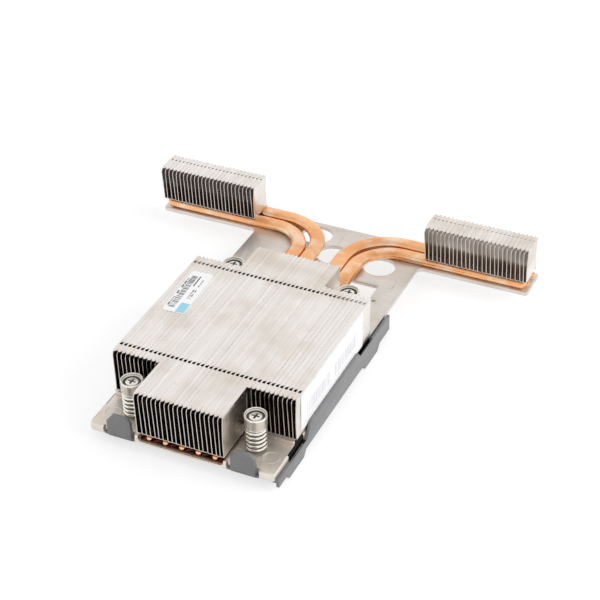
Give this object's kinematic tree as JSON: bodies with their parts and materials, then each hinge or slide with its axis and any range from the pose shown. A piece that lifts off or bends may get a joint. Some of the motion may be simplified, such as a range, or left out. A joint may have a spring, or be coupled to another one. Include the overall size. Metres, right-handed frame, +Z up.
{
  "type": "passive server cpu heatsink",
  "caption": "Low fin stack on a plated base with flattened copper heat pipes that bend out to two remote fin stacks, sprung corner screws and a moulded underside cover.",
  "frame": {"origin": "centre of the four captive screws, on the plane that the cover stands on", "axes": "+Z up, away from the processor; +X along the two arms; +Y from the front fin block to the arms"},
  "size_m": [0.1872, 0.1752, 0.032],
  "materials": {
    "plated_plate": "satin nickel plate, warm grey",
    "fin_aluminium": "satin",
    "copper": "copper, satin, warmer and brighter on the bends",
    "screw_steel": "bright nickel plate",
    "spring_steel": "bright nickel plate",
    "clip_steel": "satin spring steel",
    "grey_plastic": "moulded, fine matte",
    "label_paper": "white film with grey bars"
  },
  "bodies": {
    "root": {"base_plate": "plated_plate", "carrier_plate": "plated_plate", "copper_spreader": "copper", "fin_stack_centre": "fin_aluminium", "fin_stack_left": "fin_aluminium", "fin_stack_left_wing": "fin_aluminium", "fin_stack_right": "fin_aluminium", "fin_stack_right_wing": "fin_aluminium", "heat_pipe_centre": "copper", "heat_pipe_left_inner": "copper", "heat_pipe_left_outer": "copper", "heat_pipe_right_inner": "copper", "heat_pipe_right_outer": "copper", "protective_cover": "grey_plastic", "screw_spring_front_left": "spring_steel", "screw_spring_front_right": "spring_steel", "screw_spring_rear_left": "spring_steel", "screw_spring_rear_right": "spring_steel", "side_label": "label_paper", "top_label": "label_paper"},
    "clip_front_left": {"retaining_clip_front_left": "clip_steel"},
    "screw_front_left": {"captive_screw_front_left": "screw_steel"},
    "clip_front_right": {"retaining_clip_front_right": "clip_steel"},
    "screw_front_right": {"captive_screw_front_right": "screw_steel"},
    "clip_rear_left": {"retaining_clip_rear_left": "clip_steel"},
    "screw_rear_left": {"captive_screw_rear_left": "screw_steel"},
    "clip_rear_right": {"retaining_clip_rear_right": "clip_steel"},
    "screw_rear_right": {"captive_screw_rear_right": "screw_steel"}
  },
  "joints": [
    {"name": "press_front_left", "type": "slide", "parent": "root", "child": "clip_front_left", "axis": [0, 0, -1], "range_m": [0, 0.0035], "stiffness_N_per_m": 300, "springref_m": -0.003, "deforming": ["screw_spring_front_left"]},
    {"name": "turn_front_left", "type": "hinge", "parent": "clip_front_left", "child": "screw_front_left", "pos_m": [-0.028, -0.047, 0.0093], "axis": [0, 0, 1], "continuous": true},
    {"name": "press_front_right", "type": "slide", "parent": "root", "child": "clip_front_right", "axis": [0, 0, -1], "range_m": [0, 0.0035], "stiffness_N_per_m": 300, "springref_m": -0.003, "deforming": ["screw_spring_front_right"]},
    {"name": "turn_front_right", "type": "hinge", "parent": "clip_front_right", "child": "screw_front_right", "pos_m": [0.028, -0.047, 0.0093], "axis": [0, 0, 1], "continuous": true},
    {"name": "press_rear_left", "type": "slide", "parent": "root", "child": "clip_rear_left", "axis": [0, 0, -1], "range_m": [0, 0.0035], "stiffness_N_per_m": 300, "springref_m": -0.003, "deforming": ["screw_spring_rear_left"]},
    {"name": "turn_rear_left", "type": "hinge", "parent": "clip_rear_left", "child": "screw_rear_left", "pos_m": [-0.028, 0.047, 0.0093], "axis": [0, 0, 1], "continuous": true},
    {"name": "press_rear_right", "type": "slide", "parent": "root", "child": "clip_rear_right", "axis": [0, 0, -1], "range_m": [0, 0.0035], "stiffness_N_per_m": 300, "springref_m": -0.003, "deforming": ["screw_spring_rear_right"]},
    {"name": "turn_rear_right", "type": "hinge", "parent": "clip_rear_right", "child": "screw_rear_right", "pos_m": [0.028, 0.047, 0.0093], "axis": [0, 0, 1], "continuous": true}
  ]
}
